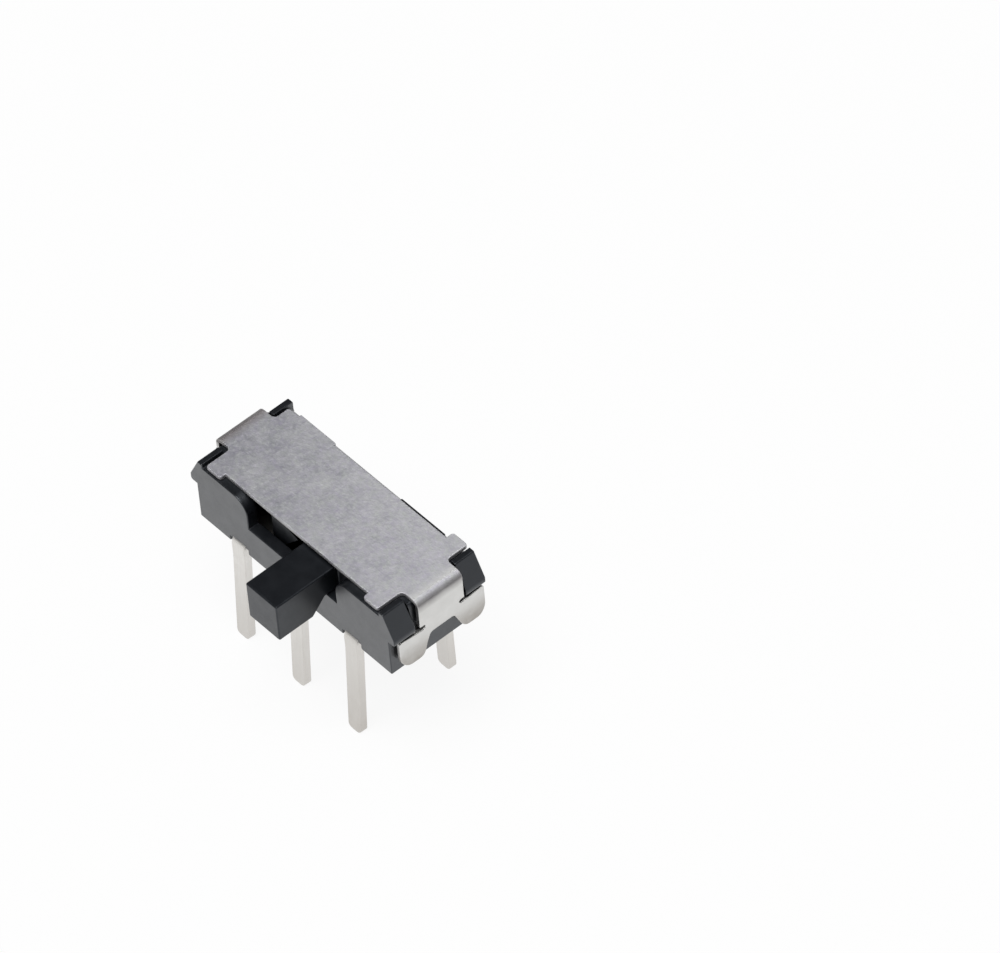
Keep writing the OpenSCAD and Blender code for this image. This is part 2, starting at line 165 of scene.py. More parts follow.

# Painted light on the cover's folds and wings: a dark painted reflection along the bends, a painted
# highlight before the right fold, painted shade on the left fold and on the wings' lower edges; places as
# shares of the fold or of the height, and strengths
BEND_REFLECTION = 0.6
BEND_REFLECTION_WIDTH = 0.5
BEND_REFLECTION_FADE = 1.3
BEND_REFLECTION_SHARE = 0.76
FOLD_BAND = 1.1
BAND_END = 0.35
BAND_HIGHLIGHT = 0.9
FAR_SHADE = 0.75
LOBE_HIGH = 0.36
LOBE_SHADE = 0.85

# Terminals and contact clips: noise scales per metre, wear, tones, roughness and bump
PIN_LINES = {"Spread": (16000.0, 9000.0, 500.0)}
STRIP_LINES = {"Spread": (600.0, 16000.0, 600.0)}
METAL_GRAIN = {"Scale": 20000.0, "Detail": GRAIN_DETAIL}
PIN_WEAR = {"Scale": 2500.0, "Amount": 0.8}
# Painted shade towards the pins' tips and towards the row's right front
PIN_TIP_SHADE = 0.55
PIN_CORNER_SHADE = 0.45
PIN_ROUGH = (0.34, 0.42)
STRIP_ROUGH = (0.22, 0.36)
LINE_BUMP = 0.1


def length(name, description, default):
    """A length property in metres, from a default in millimetres."""
    return FloatProperty(
        name=name, description=description, default=default * MM, unit="LENGTH", precision=LENGTH_DIGITS
    )


def angle(name, description, default):
    """An angle property in radians, from a default in degrees."""
    return FloatProperty(name=name, description=description, default=math.radians(default), subtype="ANGLE")


def colour(name, description, default):
    """A linear colour property."""
    return FloatVectorProperty(
        name=name, description=description, default=default, subtype="COLOR", min=0.0, max=1.0
    )


class SwitchSizes(bpy.types.PropertyGroup):
    """Sizes of the switch's pieces"""

    plastic_round: length("Plastic edges", "Rounding of the mouldings' edges", 0.035)
    lever_round: length("Lever edges", "Rounding of the slider's and the lever's edges", 0.05)
    sheet_round: length("Sheet edges", "Rounding of the cover's punched edges", 0.03)
    pin_round: length("Pin edges", "Rounding of the terminals' punched edges", 0.03)

    sheet: length("Sheet thickness", "Thickness of the cover's sheet", 0.15)
    fold: length("Fold radius", "Inside radius of the cover's folds", 0.1)
    plate_end: length("Plate end", "Distance of the plate's ends from the middle", 3.8)
    plate_front: length("Front edge", "Distance of the plate's front edge from its middle", 1.47)
    plate_back: length("Back edge", "Distance of the plate's back edge from its middle", 1.52)
    ear_edge: length("Ear edge", "Distance of the ears' edges from the plate's middle", 1.68)
    ear_back: length("Back ear", "Distance that the back ear reaches further out than the front ears", 0.1)
    ear: length("Ear length", "Length of each ear along the plate", 0.65)
    ear_corner: length("Ear corner", "Radius of the plate's corners", 0.1)
    lug_start: length("Lug start", "Distance of the lug from the plate's left end", 0.45)
    lug: length("Lug length", "Length of the lug on the back edge", 1.55)
    lug_out: length("Lug depth", "Distance that the lug stands out of the back edge", 0.08)
    neck: length("Neck width", "Width of the necks between plate and tabs", 1.7)
    neck_shift: length("Neck shift", "Distance of the necks' middle behind the plate's middle", 0.11)
    neck_corner: length("Neck corner", "Radius between a neck and the plate", 0.15)
    tab_shift: length("Tab shift", "Distance of the wings' middle behind the plate's middle", 0.08)
    wing: length("Wing span", "Width over both wings of a tab", 3.24)
    wing_high: length("Wing height", "Height of the wings", 1.1)
    wing_top: length("Wing top", "Radius of the wings' upper corners", 0.12)
    wing_low: length("Wing bottom", "Radius of the wings' outer lower corners", 0.4)
    lobe: length("Lobe corner", "Radius of the wings' lower corners beside the window", 0.3)
    curl: length("Lobe curl", "Distance that the wings' lower edges curl outwards", 0.06)
    curl_high: length("Curl height", "Height of the curled part of the wings", 0.45)
    relief: length("Relief", "Radius of the reliefs between neck and wings", 0.07)
    relief_deep: length("Relief depth", "Depth of the reliefs in the necks", 0.2)
    window_mouth: length("Window mouth", "Width of a tab's window at its lower edge", 1.5)
    window_top: length("Window top", "Width of a tab's window at its top", 0.9)
    window_high: length("Window height", "Height of a tab's window", 0.7)
    window_corner: length("Window corner", "Radius of a window's upper corners", 0.16)

    pitch: length("Pitch", "Distance between pins along the housing", 2.5)
    pins: IntProperty(name="Pins in a row", description="Number of pins in each row", default=3, min=1)
    row: length("Row distance", "Distance between the inner faces of the two rows", 2.99)
    pin_sheet: length("Terminal sheet", "Thickness of the terminals' sheet", 0.28)
    pin: length("Pin width", "Width of a pin", 0.55)
    pin_tip: length("Pin tip", "Radius of the corners at a pin's tip", 0.17)
    pin_bend: length("Pin bend", "Inside radius of the bend between pad and pin", 0.1)
    front_lean: angle("Front lean", "Lean of the front pins outwards", 3.3)
    back_lean: angle("Back lean", "Lean of the back pins outwards", 0.2)
    pad: length("Pad width", "Width of a contact pad", 1.4)
    pad_neck: length("Pad neck", "Length of the strip between a pad and its bend", 0.15)
    lean_start: length("Lean start", "Height at which the pins start to lean", 0.3)


class SwitchColours(bpy.types.PropertyGroup):
    """Colours of the switch's finishes"""

    housing_dark: colour("Housing, dark", "Darker tone of the housing's black", (0.003, 0.0036, 0.005))
    housing_light: colour("Housing, light", "Lighter tone of the housing's black", (0.006, 0.0068, 0.0085))
    slider_dark: colour("Slider, dark", "Darker tone of the slider's black", (0.003, 0.0036, 0.005))
    slider_light: colour("Slider, light", "Lighter tone of the slider's black", (0.006, 0.0068, 0.0085))
    plastic_edge: colour("Plastic edges", "Tone of the mouldings' rubbed edges", (0.012, 0.0125, 0.014))
    # The plating's darker and lighter tones, mixed by the mottling and by painted light that pales the plate
    # towards its right back end
    cover_cool: colour("Cover, cool", "Bluish tone of the cover's plating", (0.33, 0.328, 0.37))
    cover_warm: colour("Cover, warm", "Pinkish tone of the cover's plating", (0.76, 0.745, 0.785))
    cover_violet: colour("Cover, violet", "Violet tint over the cover's plating", (0.93, 0.9, 1.0))
    cover_green: colour("Cover, green", "Green tint over the cover's plating", (0.95, 1.0, 0.93))
    # Pale tone of the plating's rubbed edges and specks, and of the painted highlight before the right fold
    cover_rub_and_highlight: colour("Cover edges", "Tone of the cover's rubbed edges", (0.85, 0.85, 0.84))
    tab: colour("Tabs", "Tone of the cover's burnished tabs", (0.64, 0.635, 0.62))
    # Painted shade: the brownish dark tone of the cover's left fold
    fold_far_shade: colour("Left fold", "Brownish tone of the cover's left fold", (0.25, 0.215, 0.21))
    # Painted reflection: the dark tone along the sheet's bends, where they mirror dark surroundings
    bend_reflection: colour("Bend lines", "Tone of the dark lines in the cover's bends", (0.1, 0.085, 0.09))
    # Painted shade on the wings' lower edges, where they curl outwards
    wing_shade: colour("Tarnish", "Tone of the tarnish on the wings' lower edges", (0.25, 0.22, 0.185))
    pin_dark: colour("Pins, dark", "Darker tone of the terminals' plating", (0.76, 0.745, 0.715))
    pin_light: colour("Pins, light", "Lighter tone of the terminals' plating", (0.82, 0.805, 0.78))
    # Painted shade: the terminals' darker tone towards the tips and the right front
    pin_shade_tone: colour("Pins, low", "Tone of the terminals' plating at the tips", (0.5, 0.47, 0.435))
    pin_edge: colour("Pin edges", "Tone of the terminals' rubbed edges", (0.66, 0.64, 0.61))
    strip_dark: colour("Strip, dark", "Darker tone of the contact strip", (0.62, 0.42, 0.18))
    strip_light: colour("Strip, light", "Lighter tone of the contact strip", (0.8, 0.6, 0.32))
    floor: colour("Floor", "Colour of the floor", (0.8, 0.8, 0.8))


# Node trees

def put(tree, kind, column, line, settings=None, inputs=None):
    """Adds a node at a place of the tree's grid, with its settings and its input values."""
    node = tree.nodes.new(kind)
    node.location = (NODE_WIDE * column, -NODE_HIGH * line)
    for name, value in (settings or {}).items():
        setattr(node, name, value)
    for name, value in (inputs or {}).items():
        node.inputs[name].default_value = value
    return node


def link(tree, source, target):
    """Joins an output socket to an input socket."""
    tree.links.new(source, target)


def feed(tree, value, target):
    """Gives an input socket another socket's output, a number or a colour."""
    if isinstance(value, bpy.types.NodeSocket):
        link(tree, value, target)
    elif isinstance(value, (int, float)):
        target.default_value = value
    else:
        target.default_value = (*value, 1.0)


def new_group(name, inputs, outputs):
    """A shader node group with named sockets; returns its tree, its input node and its output node."""
    tree = bpy.data.node_groups.new(name, "ShaderNodeTree")
    for way, sockets in (("INPUT", inputs), ("OUTPUT", outputs)):
        for label, kind in sockets.items():
            tree.interface.new_socket(label, in_out=way, socket_type="NodeSocket" + kind)
    return tree, put(tree, "NodeGroupInput", 0, 0), put(tree, "NodeGroupOutput", 6, 0)


def mix_colour(tree, column, line, factor, first, second, blend="MIX"):
    """A mix of two colours or sockets by a factor; returns its output."""
    node = put(tree, "ShaderNodeMix", column, line, {"data_type": "RGBA", "blend_type": blend})
    for index, value in zip(MIX_INPUTS, (factor, first, second)):
        feed(tree, value, node.inputs[index])
    return node.outputs[MIX_RESULT]


def spread(tree, column, line, value, low, high, to_low, to_high):
    """Maps a socket's values from one range to another; returns the output."""
    node = put(tree, "ShaderNodeMapRange", column, line, {"clamp": True})
    for target, item in zip(node.inputs, (value, low, high, to_low, to_high)):
        feed(tree, item, target)
    return node.outputs[0]


def math_node(tree, column, line, operation, first, second):
    """A math node on two sockets or numbers; returns its output."""
    node = put(tree, "ShaderNodeMath", column, line, {"operation": operation})
    for target, value in zip(node.inputs, (first, second)):
        feed(tree, value, target)
    return node.outputs[0]


def object_noise(tree, line, scale, roughness):
    """Noise over the piece's own coordinates, with its scale from a socket."""
    place = put(tree, "ShaderNodeTexCoord", 1, line)
    noise = put(tree, "ShaderNodeTexNoise", 2, line, inputs={"Detail": NOISE_DETAIL, "Roughness": roughness})
    link(tree, place.outputs["Object"], noise.inputs["Vector"])
    link(tree, scale, noise.inputs["Scale"])
    return noise


def object_axes(tree, line):
    """The piece's own coordinates, as one socket for each axis."""
    place = put(tree, "ShaderNodeTexCoord", 1, line)
    parts = put(tree, "ShaderNodeSeparateXYZ", 2, line)
    link(tree, place.outputs["Object"], parts.inputs[0])
    return parts.outputs


def grain_group():
    """Fine surface grain: a height and a tone from small noise."""
    found = bpy.data.node_groups.get("fine_grain")
    if found:
        return found
    tree, entry, end = new_group(
        "fine_grain", {"Scale": "Float", "Detail": "Float"}, {"Height": "Float", "Tone": "Float"}
    )
    noise = object_noise(tree, 0, entry.outputs["Scale"], NOISE_ROUGH)
    link(tree, entry.outputs["Detail"], noise.inputs["Detail"])
    link(tree, noise.outputs[0], end.inputs["Height"])
    link(tree, spread(tree, 4, 1, noise.outputs[0], *GRAIN_RANGE, 0.0, 1.0), end.inputs["Tone"])
    return tree


def cloud_group():
    """Soft blotches between two colours, at two scales."""
    found = bpy.data.node_groups.get("soft_blotches")
    if found:
        return found
    tree, entry, end = new_group(
        "soft_blotches",
        {"Scale": "Float", "Fine Scale": "Float", "Dark": "Color", "Light": "Color"},
        {"Color": "Color", "Mask": "Float"},
    )
    shares = []
    for line, scale in ((0, "Scale"), (2, "Fine Scale")):
        noise = object_noise(tree, line, entry.outputs[scale], CLOUD_ROUGH)
        shares.append(spread(tree, 3, line, noise.outputs[0], *CLOUD_RANGE, 0.0, 0.5))
    mask = math_node(tree, 4, 1, "ADD", *shares)
    blotches = mix_colour(tree, 5, 0, mask, entry.outputs["Dark"], entry.outputs["Light"])
    link(tree, blotches, end.inputs["Color"])
    link(tree, mask, end.inputs["Mask"])
    return tree


def wear_group():
    """Rubbed edges: the piece's own edge attribute, broken up by noise."""
    found = bpy.data.node_groups.get("rubbed_edges")
    if found:
        return found
    tree, entry, end = new_group("rubbed_edges", {"Scale": "Float", "Amount": "Float"}, {"Mask": "Float"})
    noise = object_noise(tree, 0, entry.outputs["Scale"], NOISE_ROUGH)
    edge = put(tree, "ShaderNodeAttribute", 2, 2, {"attribute_name": "edge"})
    patches = spread(tree, 3, 0, noise.outputs[0], *WEAR_RANGE, LEAST_WEAR, 1.0)
    broken = math_node(tree, 4, 1, "MULTIPLY", patches, edge.outputs["Fac"])
    link(tree, math_node(tree, 5, 1, "MULTIPLY", broken, entry.outputs["Amount"]), end.inputs["Mask"])
    return tree


def streak_group():
    """Fine drawn lines along one axis of the piece."""
    found = bpy.data.node_groups.get("drawn_lines")
    if found:
        return found
    tree, entry, end = new_group("drawn_lines", {"Spread": "Vector"}, {"Mask": "Float"})
    place = put(tree, "ShaderNodeTexCoord", 1, 1)
    scaled = put(tree, "ShaderNodeVectorMath", 2, 0, {"operation": "MULTIPLY"})
    settings = {"Scale": 1.0, "Detail": NOISE_DETAIL, "Roughness": NOISE_ROUGH}
    noise = put(tree, "ShaderNodeTexNoise", 3, 0, inputs=settings)
    link(tree, place.outputs["Object"], scaled.inputs[0])
    link(tree, entry.outputs["Spread"], scaled.inputs[1])
    link(tree, scaled.outputs[0], noise.inputs["Vector"])
    link(tree, spread(tree, 4, 0, noise.outputs[0], *GRAIN_RANGE, 0.0, 1.0), end.inputs["Mask"])
    return tree


def use_group(tree, group, column, line, inputs):
    """Places a node group in a material with its own values."""
    return put(tree, "ShaderNodeGroup", column, line, {"node_tree": group}, inputs)


def new_material(name, settings):
    """A material with a Principled shader, whose plain values are set on its sockets."""
    material = bpy.data.materials.new(name)
    material.use_nodes = True
    tree = material.node_tree
    tree.nodes.clear()
    end = put(tree, "ShaderNodeOutputMaterial", 8, 0)
    shader = put(tree, "ShaderNodeBsdfPrincipled", 7, 0, inputs=settings)
    link(tree, shader.outputs[0], end.inputs["Surface"])
    return material, tree, shader


def bumped(tree, shader, column, line, height, strength, distance):
    """Feeds a height through a Bump node into the shader's normal."""
    bump = put(tree, "ShaderNodeBump", column, line, inputs={"Strength": strength, "Distance": distance})
    link(tree, height, bump.inputs["Height"])
    link(tree, bump.outputs[0], shader.inputs["Normal"])


def moulded_plastic(name, dark, light, edge_tone, density, coat):
    """Black satin moulding: cloudy black, fine grain, edges rubbed a little paler and duller."""
    settings = {
        "IOR": density, "Specular Tint": SHEEN_TINT, "Coat Weight": coat, "Coat Roughness": COAT_ROUGH,
    }
    material, tree, shader = new_material(name, settings)
    blacks = {"Dark": (*dark, 1.0), "Light": (*light, 1.0)}
    clouds = use_group(tree, cloud_group(), 1, 0, {**PLASTIC_CLOUDS, **blacks})
    grain = use_group(tree, grain_group(), 1, 2, PLASTIC_GRAIN)
    wear = use_group(tree, wear_group(), 1, 4, PLASTIC_WEAR)
    tone = mix_colour(tree, 3, 0, wear.outputs["Mask"], clouds.outputs["Color"], edge_tone)
    satin = spread(tree, 3, 2, grain.outputs["Tone"], 0.0, 1.0, *PLASTIC_ROUGH)
    worn = math_node(tree, 4, 3, "MULTIPLY", wear.outputs["Mask"], WORN_ROUGH)
    link(tree, tone, shader.inputs["Base Color"])
    link(tree, math_node(tree, 5, 2, "ADD", satin, worn), shader.inputs["Roughness"])
    bumped(tree, shader, 5, 4, grain.outputs["Height"], PLASTIC_BUMP, FINE_DEPTH)
    return material


def plated_sheet(colours, low, high, fold):
    """Matt plating of the cover: mottled plate with painted light towards its right back end, smooth tabs, a
    painted highlight before the right fold, painted shade on the left fold and on the wings' lower edges,
    and painted dark reflections along the bends.
    """
    material, tree, shader = new_material("cover_plating", {"Metallic": 1.0})
    tints = {"Dark": (*colours.cover_violet, 1.0), "Light": (*colours.cover_green, 1.0)}
    clouds = use_group(tree, cloud_group(), 1, 0, PLATE_CLOUDS)
    grain = use_group(tree, grain_group(), 1, 2, PLATE_GRAIN)
    wear = use_group(tree, wear_group(), 1, 4, PLATE_WEAR)
    hues = use_group(tree, cloud_group(), 1, 8, {**HUE_CLOUDS, **tints})
    x, y, z = object_axes(tree, 6)

    # Masks: flat plate, painted light towards the right back end, painted highlight in a band before the
    # right fold, painted shade on the left fold
    plate = spread(tree, 3, 6, z, high.z - fold, high.z, 0.0, 1.0)
    slant = math_node(tree, 3, 8, "ADD", x, math_node(tree, 2, 8, "MULTIPLY", y, PAINTED_LIGHT_SLANT))
    painted_light = spread(tree, 4, 8, slant, low.x, high.x, 0.0, PAINTED_LIGHT_SHARE)
    right = high.x - fold
    left = low.x + fold
    # Painted highlight: a pale band on the plate just before the right fold, fading out on the fold
    rise = spread(tree, 3, 9, x, right - FOLD_BAND * fold, right, 0.0, BAND_HIGHLIGHT)
    fall = spread(tree, 3, 10, x, right, right + BAND_END * fold, BAND_HIGHLIGHT, 0.0)
    fold_highlight = math_node(tree, 4, 9, "MINIMUM", rise, fall)
    # Painted shade on the left fold, fading out onto the plate
    far_fold_shade = spread(tree, 3, 11, x, left, left + FOLD_BAND * fold, FAR_SHADE, 0.0)

    # Tones of the plate, with painted light towards its right back end, specks and faint hues
    cloudy = math_node(tree, 2, 0, "MULTIPLY", clouds.outputs["Mask"], CLOUD_SHARE)
    share = math_node(tree, 3, 0, "ADD", cloudy, painted_light)
    tone = mix_colour(tree, 4, 0, share, colours.cover_cool, colours.cover_warm)
    bright = spread(tree, 2, 2, grain.outputs["Tone"], SPECK_START, 1.0, 0.0, SPECK_SHARE)
    specks = math_node(tree, 3, 2, "MULTIPLY", bright, plate)
    tone = mix_colour(tree, 4, 1, specks, tone, colours.cover_rub_and_highlight)
    tone = mix_colour(tree, 4, 2, 1.0, tone, hues.outputs["Color"], "MULTIPLY")

    # Painted highlight and shade on the folds, tabs, painted dark reflections along the bends, painted shade
    # on the wings' lower edges, and rubbed edges over them
    tone = mix_colour(tree, 5, 0, fold_highlight, tone, colours.cover_rub_and_highlight)
    tone = mix_colour(tree, 5, 1, far_fold_shade, tone, colours.fold_far_shade)
    tone = mix_colour(tree, 5, 2, plate, colours.tab, tone)
    # Painted reflection: a dark line along both bends, fading more slowly below it
    from_bend_reflection = math_node(tree, 3, 5, "SUBTRACT", z, high.z - BEND_REFLECTION * fold)
    above = spread(tree, 4, 5, from_bend_reflection, 0.0, BEND_REFLECTION_WIDTH * fold, BEND_REFLECTION_SHARE, 0.0)
    below = spread(tree, 4, 6, from_bend_reflection, -BEND_REFLECTION_FADE * fold, 0.0, 0.0, BEND_REFLECTION_SHARE)
    line = math_node(tree, 5, 5, "MINIMUM", above, below)
    tone = mix_colour(tree, 6, 0, line, tone, colours.bend_reflection)
    # Painted shade: the wings darken towards their curled lower edges
    lobe_shade_mask = spread(tree, 3, 7, z, low.z, low.z + LOBE_HIGH * (high.z - low.z), LOBE_SHADE, 0.0)
    tone = mix_colour(tree, 6, 1, lobe_shade_mask, tone, colours.wing_shade)
    tone = mix_colour(tree, 6, 2, wear.outputs["Mask"], tone, colours.cover_rub_and_highlight)
    link(tree, tone, shader.inputs["Base Color"])

    dull = spread(tree, 6, 3, plate, 0.0, ROUGH_RISE, TAB_ROUGH, PLATE_ROUGH)
    link(tree, dull, shader.inputs["Roughness"])
    relief = math_node(tree, 5, 4, "MULTIPLY", grain.outputs["Height"], plate)
    bumped(tree, shader, 6, 4, relief, PLATE_BUMP, PLATE_DEPTH)
    return material


def plated_pin(colours, low):
    """Bright plating of the terminals: drawn lines, painted shade darkening it to the tips and to the right
    front, rubbed edges.
    """
    material, tree, shader = new_material("terminal_plating", {"Metallic": 1.0})
    lines = use_group(tree, streak_group(), 1, 0, PIN_LINES)
    grain = use_group(tree, grain_group(), 1, 2, METAL_GRAIN)
    wear = use_group(tree, wear_group(), 1, 4, PIN_WEAR)
    x, y, z = object_axes(tree, 6)
    tone = mix_colour(tree, 3, 0, lines.outputs["Mask"], colours.pin_dark, colours.pin_light)
    # Painted shade: the plating darkens towards the pins' tips and towards the row's right front
    painted_tip_shade = spread(tree, 3, 6, z, low.z, 0.0, PIN_TIP_SHADE, 0.0)
    across = math_node(tree, 3, 7, "SUBTRACT", x, y)
    corner = spread(tree, 4, 7, across, -low.y, -low.y - low.x, 0.0, PIN_CORNER_SHADE)
    tone = mix_colour(tree, 4, 0, math_node(tree, 5, 6, "ADD", painted_tip_shade, corner), tone, colours.pin_shade_tone)
    tone = mix_colour(tree, 5, 0, wear.outputs["Mask"], tone, colours.pin_edge)
    link(tree, tone, shader.inputs["Base Color"])
    link(tree, spread(tree, 4, 2, grain.outputs["Tone"], 0.0, 1.0, *PIN_ROUGH), shader.inputs["Roughness"])
    bumped(tree, shader, 5, 4, lines.outputs["Mask"], LINE_BUMP, FINE_DEPTH)
    return material


def contact_metal(colours):
    """Bright contact strip with lines across its width."""
    material, tree, shader = new_material("contact_metal", {"Metallic": 1.0})
    lines = use_group(tree, streak_group(), 1, 0, STRIP_LINES)
    grain = use_group(tree, grain_group(), 1, 2, METAL_GRAIN)
    tone = mix_colour(tree, 3, 0, lines.outputs["Mask"], colours.strip_dark, colours.strip_light)
    link(tree, tone, shader.inputs["Base Color"])
    link(tree, spread(tree, 4, 2, grain.outputs["Tone"], 0.0, 1.0, *STRIP_ROUGH), shader.inputs["Roughness"])
    bumped(tree, shader, 5, 4, lines.outputs["Mask"], LINE_BUMP, FINE_DEPTH)
    return material


# Mesh building, in millimetres

def merged_copy(node):
    """A copy of a CAD node's mesh in millimetres, merged and with its flat faces in one piece."""
    mesh = bmesh.new()
    mesh.from_mesh(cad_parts[node].data)
    bmesh.ops.scale(mesh, vec=Vector((1 / MM, 1 / MM, 1 / MM)), verts=mesh.verts)
    bmesh.ops.remove_doubles(mesh, verts=mesh.verts, dist=MERGE_GAP)
    bmesh.ops.dissolve_limit(
        mesh, angle_limit=math.radians(FLAT_ANGLE), use_dissolve_boundaries=False,
        verts=mesh.verts, edges=mesh.edges, delimit=set(),
    )
    return mesh


def arc(centre, radius, start, end):
    """Points of an arc about a centre between two angles in degrees, either way round."""
    steps = max(1, round(abs(end - start) / ARC_STEP))
    angles = [math.radians(start + (end - start) * i / steps) for i in range(steps + 1)]
    return [(centre[0] + radius * math.cos(a), centre[1] + radius * math.sin(a)) for a in angles]


def bent_sheet(outline, cuts, thickness, place):
    """A solid of sheet from its flat outline, cut across at the bends and put in place by a rule."""
    flat = bmesh.new()
    flat.faces.new([flat.verts.new((u, v, 0.0)) for u, v in outline])
    for cut in cuts:
        geometry = flat.verts[:] + flat.edges[:] + flat.faces[:]
        bmesh.ops.bisect_plane(
            flat, geom=geometry, dist=MERGE_GAP, plane_co=(cut, 0, 0), plane_no=(1, 0, 0)
        )
    solid = bmesh.new()
    under = {v: solid.verts.new(place(v.co.x, v.co.y, 0.0)) for v in flat.verts}
    upper = {v: solid.verts.new(place(v.co.x, v.co.y, thickness)) for v in flat.verts}
    for face in flat.faces:
        solid.faces.new([upper[v] for v in face.verts])
        solid.faces.new([under[v] for v in reversed(face.verts)])
    for edge in flat.edges:
        if edge.is_boundary:
            first = edge.link_loops[0].vert
            second = edge.link_loops[0].link_loop_next.vert
            solid.faces.new([under[first], under[second], upper[second], upper[first]])
    flat.free()
    return solid


def mark_rounding(mesh, width):
    """Gives each sharp edge its share of the rounding, less where room is short, none at acute meetings."""
    mesh.normal_update()
    share = mesh.edges.layers.float.new("bevel_weight_edge")
    limit = math.radians(SHARP_ANGLE)
    sharp = {edge for edge in mesh.edges if len(edge.link_faces) == 2 and edge.calc_face_angle() >= limit}
    for edge in sharp:
        room = width
        for vert in edge.verts:
            along = (edge.other_vert(vert).co - vert.co).normalized()
            for other in vert.link_edges:
                if other is edge:
                    continue
                across = (other.other_vert(vert).co - vert.co).normalized()
                if other in sharp and along.dot(across) > ACUTE:
                    room = 0.0
                if abs(along.dot(across)) < CROSSING:
                    room = min(room, ROOM_SHARE * other.calc_length())
        edge[share] = room / width


def evaluated_mesh(piece):
    """The plain mesh of an object with its modifiers applied."""
    graph = bpy.context.evaluated_depsgraph_get()
    return bpy.data.meshes.new_from_object(piece.evaluated_get(graph), depsgraph=graph)


def take_mesh(piece):
    """Turns an object's modifiers into its plain mesh."""
    old = piece.data
    made = evaluated_mesh(piece)
    piece.modifiers.clear()
    piece.data = made
    made.name = piece.name
    bpy.data.meshes.remove(old)


def mark_edges(mesh):
    """Stores how much of each point lies on rounded edges, and puts all faces on one material."""
    rounded = [0] * len(mesh.vertices)
    around = [0] * len(mesh.vertices)
    for face in mesh.polygons:
        for index in face.vertices:
            around[index] += 1
            rounded[index] += face.material_index
        face.material_index = 0
    share = mesh.attributes.new("edge", "FLOAT", "POINT")
    share.data.foreach_set("value", [part / max(1, whole) for part, whole in zip(rounded, around)])


def rounded_piece(name, solid, width):
    """An object from a solid in millimetres, with its sharp edges rounded and its shading smooth."""
    mark_rounding(solid, width)
    mesh = bpy.data.meshes.new(name)
    solid.to_mesh(mesh)
    solid.free()
    piece = bpy.data.objects.new(name, mesh)
    bpy.context.scene.collection.objects.link(piece)
    mesh.materials.append(None)
    mesh.materials.append(None)
    bevel = piece.modifiers.new("Rounding", "BEVEL")
    bevel.limit_method = "WEIGHT"
    bevel.width = width
    bevel.segments = ROUND_STEPS
    bevel.use_clamp_overlap = False
    bevel.material = 1
    take_mesh(piece)
    mark_edges(piece.data)
    piece.data.materials.clear()
    smooth_shading(piece)
    piece.data.transform(Matrix.Scale(MM, 4))
    return piece


def smooth_shading(piece):
    """Smooth shading up to the sharp angle, with the large faces kept flat and cut into clean triangles."""
    mesh = piece.data
    mesh.polygons.foreach_set("use_smooth", [True] * len(mesh.polygons))
    mesh.set_sharp_from_angle(angle=math.radians(SMOOTH_ANGLE))
    normals = piece.modifiers.new("Normals", "WEIGHTED_NORMAL")
    normals.keep_sharp = True
    normals.weight = FACE_WEIGHT
    cut = piece.modifiers.new("Triangles", "TRIANGULATE")
    cut.min_vertices = LARGE_FACE
    cut.ngon_method = "BEAUTY"
    cut.keep_custom_normals = True
    take_mesh(piece)


def dress(piece, material, body, nodes):
    """Gives a finished piece its material and its body, and hides the CAD nodes that it stands for."""
    piece.data.materials.clear()
    piece.data.materials.append(material)
    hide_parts(*nodes)
    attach(piece, body)


def need(piece):
    """Stops the work if a piece came out empty."""
    if not piece.data.polygons:
        raise RuntimeError(piece.name + " has no faces")


# Outlines

def tab_outline(s, top):
    """The right end of the cover's flat outline, from the front of the neck round the tab to the back."""
    half = s.neck / 2
    low = s.neck_shift - half
    high = s.neck_shift + half
    bottom = top + s.wing_high
    side = s.wing / 2
    mid = s.tab_shift
    ring = s.relief
    deep = s.relief_deep - ring
    run = (s.window_mouth - s.window_top) / 2
    slope = math.hypot(run, s.window_high)
    corner = s.window_top / 2 - s.window_corner * (1 - run / slope) * slope / s.window_high
    lean = math.degrees(math.atan2(run, s.window_high))
    window = bottom - s.window_high + s.window_corner
    lobe = s.window_mouth / 2 + s.lobe * math.tan(math.radians(45 - lean / 2))
    points = arc((s.plate_end + s.neck_corner, low - s.neck_corner), s.neck_corner, 180, 90)
    points += [(top - ring, low)]
    points += arc((top, low + deep), ring, 180, 0)
    points += [(top + ring, low)]
    points += arc((top + s.wing_top, mid + s.wing_top - side), s.wing_top, 180, 270)
    points += arc((bottom - s.wing_low, mid + s.wing_low - side), s.wing_low, 270, 360)
    points += arc((bottom - s.lobe, mid - lobe), s.lobe, 0, 90 - lean)
    points += arc((window, mid - corner), s.window_corner, 270 - lean, 180)
    points += arc((window, mid + corner), s.window_corner, 180, 90 + lean)
    points += arc((bottom - s.lobe, mid + lobe), s.lobe, lean - 90, 0)
    points += arc((bottom - s.wing_low, mid + side - s.wing_low), s.wing_low, 0, 90)
    points += arc((top + s.wing_top, mid + side - s.wing_top), s.wing_top, 90, 180)
    points += [(top + ring, high)]
    points += arc((top, high - deep), ring, 0, -180)
    points += [(top - ring, high)]
    points += arc((s.plate_end + s.neck_corner, high + s.neck_corner), s.neck_corner, 270, 180)
    return points


